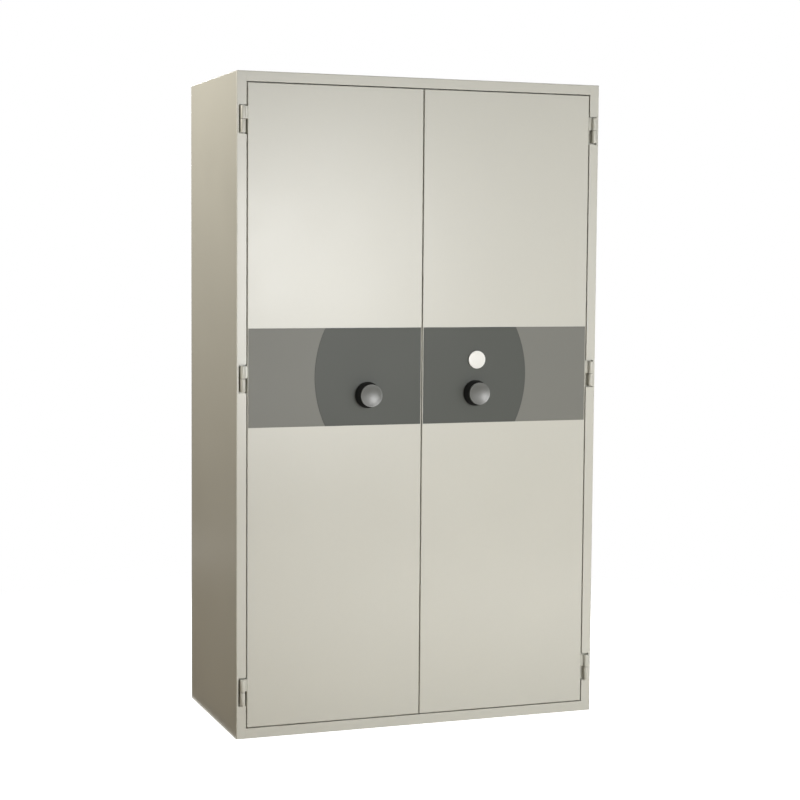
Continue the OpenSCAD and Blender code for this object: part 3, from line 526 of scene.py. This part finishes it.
def turn_cap(side):
    """The dished cap of the knob on one door."""
    seat, radius, height = measured(side + "_knob_cap")
    face = dish(radius - RIM_WIDTH, DISH_DEPTH, height) + corner(radius, height, CAP_ROUND)
    foot = [(radius, CAP_CHAMFER), (radius - CAP_CHAMFER, 0.0), (0.0, 0.0)]
    piece(spun(face + foot, seat), side + "_knob_cap_dished", cap_plastic, side + "_knob",
          side + "_knob_cap")


print("the dish is", DISH_DEPTH, "m deep inside a rim", RIM_WIDTH, "m wide")

# %% [markdown]
# ## The knob's skirt
# The skirt is a tapered cup round the spindle. Its mouth stands just clear of the door, with room in
# it for the flange of the bush, and its neck carries the cap. Its wall is a closed outline, so the
# last point is the first one again. Both doors have the same knob, so each of its two pieces is a
# function that is told the side.

# %% Draw the skirt and turn both knobs
SKIRT_BORE, SKIRT_ROOM, ROOM_DEPTH = 0.0071, 0.026, 0.0031
MOUTH_CHAMFER, MOUTH_RIM = 0.002, 0.004
NECK_RADIUS, NECK_DROP, NECK_FLARE, NECK_EDGE = 0.0345, 0.0022, 0.0003, 0.0012
SKIRT_ROUND = 0.0005


def turn_skirt(side):
    """The tapered skirt of the knob on one door."""
    seat, radius, height = measured(side + "_knob_skirt")
    inside = [(SKIRT_BORE, ROOM_DEPTH), (SKIRT_ROOM, ROOM_DEPTH), (SKIRT_ROOM, 0.0)]
    mouth = [(radius - MOUTH_CHAMFER, 0.0), (radius, MOUTH_CHAMFER), (radius, MOUTH_RIM)]
    neck = [(NECK_RADIUS + NECK_FLARE, height - NECK_DROP), (NECK_RADIUS - NECK_EDGE, height)]
    skirt = spun(inside + mouth + neck + [(SKIRT_BORE, height), inside[0]], seat)
    soften(skirt, SKIRT_ROUND, segments=2)
    piece(skirt, side + "_knob_skirt_cup", skirt_plastic, side + "_knob",
          side + "_knob_skirt")


for side in ("left", "right"):
    turn_cap(side)
    turn_skirt(side)

# %% [markdown]
# ## The cover of the keyhole
# A white disc hangs from a rivet near its top and swings aside for the key. Its edge is rounded
# towards the front, and the rivet's head is just proud. A disc with a hard edge would look like a
# printed spot, so the rounding is a real one. Disc and rivet move together and make one piece.

# %% Turn the keyhole cover
COVER_ROUND, COVER_CHAMFER = 0.0009, 0.0004
RIVET_RISE, RIVET_RADIUS = 0.020, 0.0028
RIVET_PROUD, RIVET_SUNK, RIVET_ROUND = 0.0004, 0.0006, 0.0003


def joined(parts):
    """One bmesh of several."""
    whole = bmesh.new()
    for part in parts:
        mesh = bpy.data.meshes.new("part")
        part.to_mesh(mesh)
        part.free()
        whole.from_mesh(mesh)
        bpy.data.meshes.remove(mesh)
    return whole


seat, radius, thickness = measured("key_cover")
edge = corner(radius, thickness, COVER_ROUND, steps=6)
disc = spun([(0.0, thickness)] + edge + [(radius, COVER_CHAMFER), (radius - COVER_CHAMFER, 0.0),
                                         (0.0, 0.0)], seat)
head = [(0.0, RIVET_PROUD)] + corner(RIVET_RADIUS, RIVET_PROUD, RIVET_ROUND)
rivet = spun(head + [(RIVET_RADIUS, -RIVET_SUNK), (0.0, -RIVET_SUNK)],
             seat + Vector((0, -thickness, RIVET_RISE)), steps=48)
piece(joined([disc, rivet]), "keyhole_cover_disc", cover_plastic, "key_cover",
      "key_cover")

# %% [markdown]
# ## Screws of the boltwork covers
# Eight pan-head screws hold each cover. A plain disc would not read as a screw, so each head is a low
# dome with a cross recess. The recess is cut the way a modeller would: planes divide the dome beside
# and at the ends of both arms, and the faces inside the cross are pushed in.

# %% Turn a screw and press in the cross
DOME = [(0.0, 0.0), (1.0, 0.0), (1.0, 0.35), (0.8, 0.8), (0.4, 1.0), (0.0, 1.0)]
ARM_SHARE, REACH_SHARE, FLOOR_SHARE, SHANK_SHARE = 0.17, 0.62, 0.45, 0.5
SCREW_STEPS = 24
ORIGIN = Vector((0, 0, 0))


def press_cross(bm, radius, height):
    """Pushes a cross into the top of a screw's head."""
    arm, reach = radius * ARM_SHARE, radius * REACH_SHARE
    for normal in (Vector((1, 0, 0)), Vector((0, 0, 1))):
        for distance in (-reach, -arm, arm, reach):
            bmesh.ops.bisect_plane(bm, geom=bm.verts[:] + bm.edges[:] + bm.faces[:],
                                   plane_co=normal * distance, plane_no=normal)
    crossed = []
    for face in bm.faces:
        x, y, z = face.calc_center_median()
        if min(abs(x), abs(z)) < arm and max(abs(x), abs(z)) < reach and y > height / 2:
            crossed.append(face)
    pushed = bmesh.ops.extrude_face_region(bm, geom=crossed)["geom"]
    bmesh.ops.delete(bm, geom=crossed, context="FACES")
    for item in pushed:
        if isinstance(item, bmesh.types.BMVert):
            item.co.y = height * FLOOR_SHARE
    bmesh.ops.recalc_face_normals(bm, faces=bm.faces)


def screw(place, radius, height, shank):
    """One screw whose head stands towards the back of the door."""
    head = spun([(radius * r, -height * h) for r, h in DOME], ORIGIN, steps=SCREW_STEPS)
    press_cross(head, radius, height)
    thin = radius * SHANK_SHARE
    pin = spun([(0.0, shank), (thin, shank), (thin, 0.0), (0.0, 0.0)], ORIGIN, steps=SCREW_STEPS)
    both = joined([head, pin])
    bmesh.ops.translate(both, verts=both.verts, vec=place)
    return both


print("a head has a cross", 2 * ARM_SHARE, "of its radius wide")

# %% [markdown]
# ## Place the screws
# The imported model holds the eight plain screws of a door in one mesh. Each is found as an island of
# joined vertices, and measured: where it stands, how wide and high its head is, and how long its
# shank is. The head begins where a vertex first lies nearly a full radius to the side.

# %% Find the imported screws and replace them
HEAD_SIDE = 0.9


def islands(bm):
    """The vertices of each separate solid of a mesh."""
    left, groups = set(bm.verts), []
    while left:
        group, growing = set(), [left.pop()]
        while growing:
            vert = growing.pop()
            group.add(vert)
            near = {edge.other_vert(vert) for edge in vert.link_edges} & left
            left -= near
            growing += near
        groups.append(group)
    return groups


def screw_sizes(bm):
    """Place of the head's seat, head radius, head height and shank length of each packed screw."""
    sizes = []
    for group in islands(bm):
        xs, ys, zs = zip(*(vert.co for vert in group))
        middle, radius = (max(xs) + min(xs)) / 2, (max(xs) - min(xs)) / 2
        seat = min(vert.co.y for vert in group if abs(vert.co.x - middle) > radius * HEAD_SIDE)
        place = Vector((middle, seat, (max(zs) + min(zs)) / 2))
        sizes.append((place, radius, max(ys) - seat, seat - min(ys)))
    return sorted(sizes, key=lambda size: (round(size[0].x, 4), round(size[0].z, 4)))


for side in ("left", "right"):
    packed = bmesh.new()
    packed.from_mesh(nodes[side + "_cover_screws"].data)
    bmesh.ops.remove_doubles(packed, verts=packed.verts, dist=WELD)
    screws = [screw(*size) for size in screw_sizes(packed)]
    packed.free()
    piece(joined(screws), side + "_pan_screws", zinc_plate, side + "_door",
          side + "_cover_screws")

# %% [markdown]
# ## Lamps
# The main soft box stands in front of the right door, where its reflection falls on the left door just
# above the band. A weaker one far to the right evens out the doors. One high on the left lights the
# side from above, so that the side darkens towards the floor. A strip near the floor does what a pale
# studio floor does for the base. One behind the cabinet lights its back, for whoever walks round it. It
# is no wider than the cabinet, so that neither side can mirror it.

# %% Set the lamps
WHITE, WARM = (1, 1, 1), (1.03, 0.97, 0.885)


def soft_box(name, place, aim, size, watts, colour=WHITE):
    """A lamp at a place, turned to what it lights, with its width and height in metres."""
    lamp = bpy.data.lights.new(name, "AREA")
    lamp.color = colour
    lamp.shape = "RECTANGLE"
    lamp.size, lamp.size_y = size
    lamp.energy = watts
    made = bpy.data.objects.new(name, lamp)
    bpy.context.scene.collection.objects.link(made)
    made.location = place
    made.rotation_euler = (Vector(aim) - Vector(place)).to_track_quat("-Z", "Y").to_euler()
    print(name, watts, "W")


soft_box("front_box", (0.44, -3.4, 1.35), (-0.15, 0, 1.2), (1.1, 1.1), 58)
soft_box("right_box", (2.9, -4.2, 1.4), (0.3, -0.2, 1.1), (1.8, 2.0), 29)
soft_box("side_box", (-2.35, 0.2, 2.75), (-0.575, 0, 1.85), (0.9, 0.9), 49, WARM)
soft_box("back_box", (0, 4.2, 2.9), (0, 0.275, 1.2), (1.0, 2.2), 115)
soft_box("floor_strip", (0.4, -1.7, 0.12), (0.05, -0.275, 0.1), (2.4, 0.22), 5)

# %% [markdown]
# ## Two dark cloths
# The side is seen at a flat angle, where even a satin coat mirrors strongly. White surroundings would
# wash it out. A photographer hangs a dark cloth, a flag, where the side mirrors it. These two are seen
# in reflections only: the camera and the light pass through them.

# %% Hang the flags
CLOTH = (0.02, 0.014, 0.008)


def flag(name, place, aim, width, height):
    """A dark cloth at a place, turned to what should mirror it."""
    bm = bmesh.new()
    bmesh.ops.create_grid(bm, x_segments=1, y_segments=1, size=0.5)
    bmesh.ops.scale(bm, verts=bm.verts, vec=(width, height, 1))
    turn = (Vector(aim) - Vector(place)).to_track_quat("Z", "Y").to_matrix().to_4x4()
    bmesh.ops.transform(bm, matrix=Matrix.Translation(place) @ turn, verts=bm.verts)
    mesh = bpy.data.meshes.new(name)
    bm.to_mesh(mesh)
    bm.free()
    cloth = Finish(name + "_cloth", CLOTH, 1.0)
    cloth.feed("Base Color", tint(cloth, noise(cloth, 0.3), CLOTH, 0.9, 1.1))
    mesh.materials.append(cloth.material)
    made = bpy.data.objects.new(name, mesh)
    bpy.context.scene.collection.objects.link(made)
    made.visible_camera = made.visible_shadow = made.visible_diffuse = False
    print(name, width, "x", height, "m")


flag("flag_upright", (-2.3, 2.6, 0.9), (-0.575, 0, 0.9), 3.6, 3.2)
flag("flag_on_floor", (-2.28, 1.1, 0.002), (-2.28, 1.1, 1), 3.4, 3.6)

# %% [markdown]
# ## The world
# The world gives a weak grey fill. It is white where the camera, a mirroring surface or glass looks
# past the cabinet. The same switch serves the ground.

# %% Fill and backdrop
FILL, BACKDROP = 0.1, 1.0


def looked_at(tree):
    """1 for rays of the camera, of reflections and through glass, and 0 for the rays of light."""
    eye, mirror, glass = (add_node(tree, "ShaderNodeLightPath", output="Is %s Ray" % kind)
                          for kind in ("Camera", "Glossy", "Transmission"))
    eye_or_mirror = eye.maths("MAXIMUM", eye, mirror)
    return eye_or_mirror.maths("MAXIMUM", eye_or_mirror, glass)


world = bpy.data.worlds.new("studio")
world.use_nodes = True
bpy.context.scene.world = world
sky = world.node_tree
fill, white = (add_node(sky, "ShaderNodeBackground", sockets={"Color": (1, 1, 1, 1), "Strength": light})
               for light in (FILL, BACKDROP))
backdrop = add_node(sky, "ShaderNodeMixShader", sockets={0: looked_at(sky), 1: fill, 2: white})
sky.links.new(backdrop.socket, sky.nodes["World Output"].inputs["Surface"])
print("fill", FILL, "and backdrop", BACKDROP)

# %% [markdown]
# ## The ground
# The cabinet stands on a flat sheet, so wide that no edge of it comes into view. A studio would bend
# the sheet up behind the cabinet. A flat one looks the same to whoever walks round it, and the white
# world does for the rest.

# %% Lay the ground
HALF_WIDTH = 30

ground_bm = bmesh.new()
bmesh.ops.create_grid(ground_bm, x_segments=1, y_segments=1, size=HALF_WIDTH)
ground_mesh = bpy.data.meshes.new("ground")
ground_bm.to_mesh(ground_mesh)
ground_bm.free()
ground = bpy.data.objects.new("ground", ground_mesh)
bpy.context.scene.collection.objects.link(ground)
print("ground", 2 * HALF_WIDTH, "m wide")

# %% [markdown]
# ## The two looks of the ground
# For the light the sheet is a dull brown floor, so that little light comes up from it, and that little
# is warm. Looked at, it is white paper. Near the cabinet the paper still takes light and shadow, and
# further out it turns into an even white that meets the backdrop unseen.

# %% Mix the floor and the paper
BROWN = (0.29, 0.20, 0.09)
PAPER, NEAR_GLOW, FAR_GLOW = (0.8, 0.8, 0.8, 1), 0.92, 1.0
PAPER_REACH = 2.5

floor = Finish("ground_sheet", BROWN, 0.9)
floor.feed("Base Color", tint(floor, noise(floor, 0.5), BROWN, 0.95, 1.05))
paper = floor.node("ShaderNodeBsdfDiffuse", sockets={"Color": PAPER})
near_glow, far = (floor.node("ShaderNodeEmission", sockets={"Strength": glow})
                  for glow in (NEAR_GLOW, FAR_GLOW))
near = floor.node("ShaderNodeAddShader", sockets={0: paper, 1: near_glow})
distance = floor.node("ShaderNodeVectorMath", {"operation": "LENGTH"}, {0: floor.place}, "Value")
away = floor.node("ShaderNodeMapRange", {"interpolation_type": "SMOOTHSTEP"},
                  {"Value": distance, "From Min": PAPER_REACH / 2, "From Max": PAPER_REACH})
sheet = floor.node("ShaderNodeMixShader", sockets={0: away, 1: near, 2: far})
brown = Wire(floor.tree, floor.shader.outputs[0])
seen = floor.node("ShaderNodeMixShader", sockets={0: looked_at(floor.tree), 1: brown, 2: sheet})
floor.tree.links.new(seen.socket, floor.tree.nodes["Material Output"].inputs["Surface"])
ground_mesh.materials.append(floor.material)
print("paper out to", PAPER_REACH, "m")
